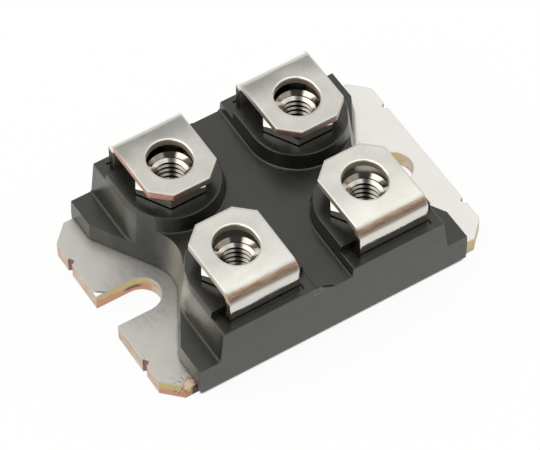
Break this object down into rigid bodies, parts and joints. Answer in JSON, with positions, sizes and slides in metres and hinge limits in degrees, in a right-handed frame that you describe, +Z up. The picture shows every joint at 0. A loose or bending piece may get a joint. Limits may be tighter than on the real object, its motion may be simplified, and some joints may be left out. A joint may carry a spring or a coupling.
{
  "type": "dual diode module",
  "caption": "Low rectangular power diode module: moulded housing on a metal base plate with a mounting hole and an open slot at its ends, and flat screw terminals over captive nuts.",
  "frame": {"origin": "middle of the flat seating face under the base plate", "axes": "+X along the length towards the closed mounting hole, -X towards the open slot, +Z up through the terminal faces, +Y to the left when looking along +X"},
  "size_m": [0.038, 0.0252, 0.012],
  "materials": {
    "base_metal": "satin plated",
    "moulding": "fine matte",
    "terminal_plating": "bright plated",
    "nut_steel": "plated",
    "solder": "satin",
    "copper": "satin",
    "ceramic": "fired",
    "silicon": "polished",
    "wire": "drawn"
  },
  "bodies": {
    "root": {"base_plate": "base_metal", "housing": "moulding", "terminal_1": "terminal_plating", "terminal_2": "terminal_plating", "terminal_3": "terminal_plating", "terminal_4": "terminal_plating", "terminal_nuts": "nut_steel", "base_solder": "solder", "substrate_back_copper": "copper", "substrate_ceramic": "ceramic", "cathode_pad_1": "copper", "anode_pad_1": "copper", "chip_solder_1": "solder", "diode_chip_1": "silicon", "bond_wires_1": "wire", "cathode_pad_2": "copper", "anode_pad_2": "copper", "chip_solder_2": "solder", "diode_chip_2": "silicon", "bond_wires_2": "wire", "terminal_solder_1": "solder", "terminal_solder_2": "solder", "terminal_solder_3": "solder", "terminal_solder_4": "solder"}
  },
  "joints": []
}
